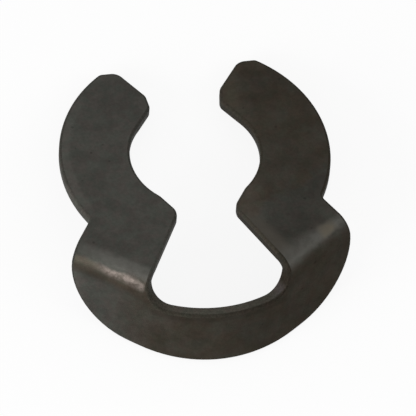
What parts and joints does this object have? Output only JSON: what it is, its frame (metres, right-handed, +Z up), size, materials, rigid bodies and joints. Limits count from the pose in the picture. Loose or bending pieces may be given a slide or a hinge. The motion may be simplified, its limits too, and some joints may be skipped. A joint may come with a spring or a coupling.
{
  "type": "retaining clip",
  "caption": "Stamped spring-steel retaining clip: flat arms curl round a pin groove, and a curved bail, bent down along the legs, joins them and lets them spring open.",
  "frame": {"origin": "centre of the clip's footprint on the surface it rests on", "axes": "+X across the clip, +Y from the bail to the tips, +Z up; it rests on both tips and the bail's foot, with the arms sloping down to the tips"},
  "size_m": [0.0216, 0.024, 0.0067],
  "materials": {
    "spring_steel": "oil-blackened spring steel, satin, brownish dark grey, worn brighter along the bends"
  },
  "bodies": {
    "root": {"retaining_clip": "spring_steel"}
  },
  "joints": []
}
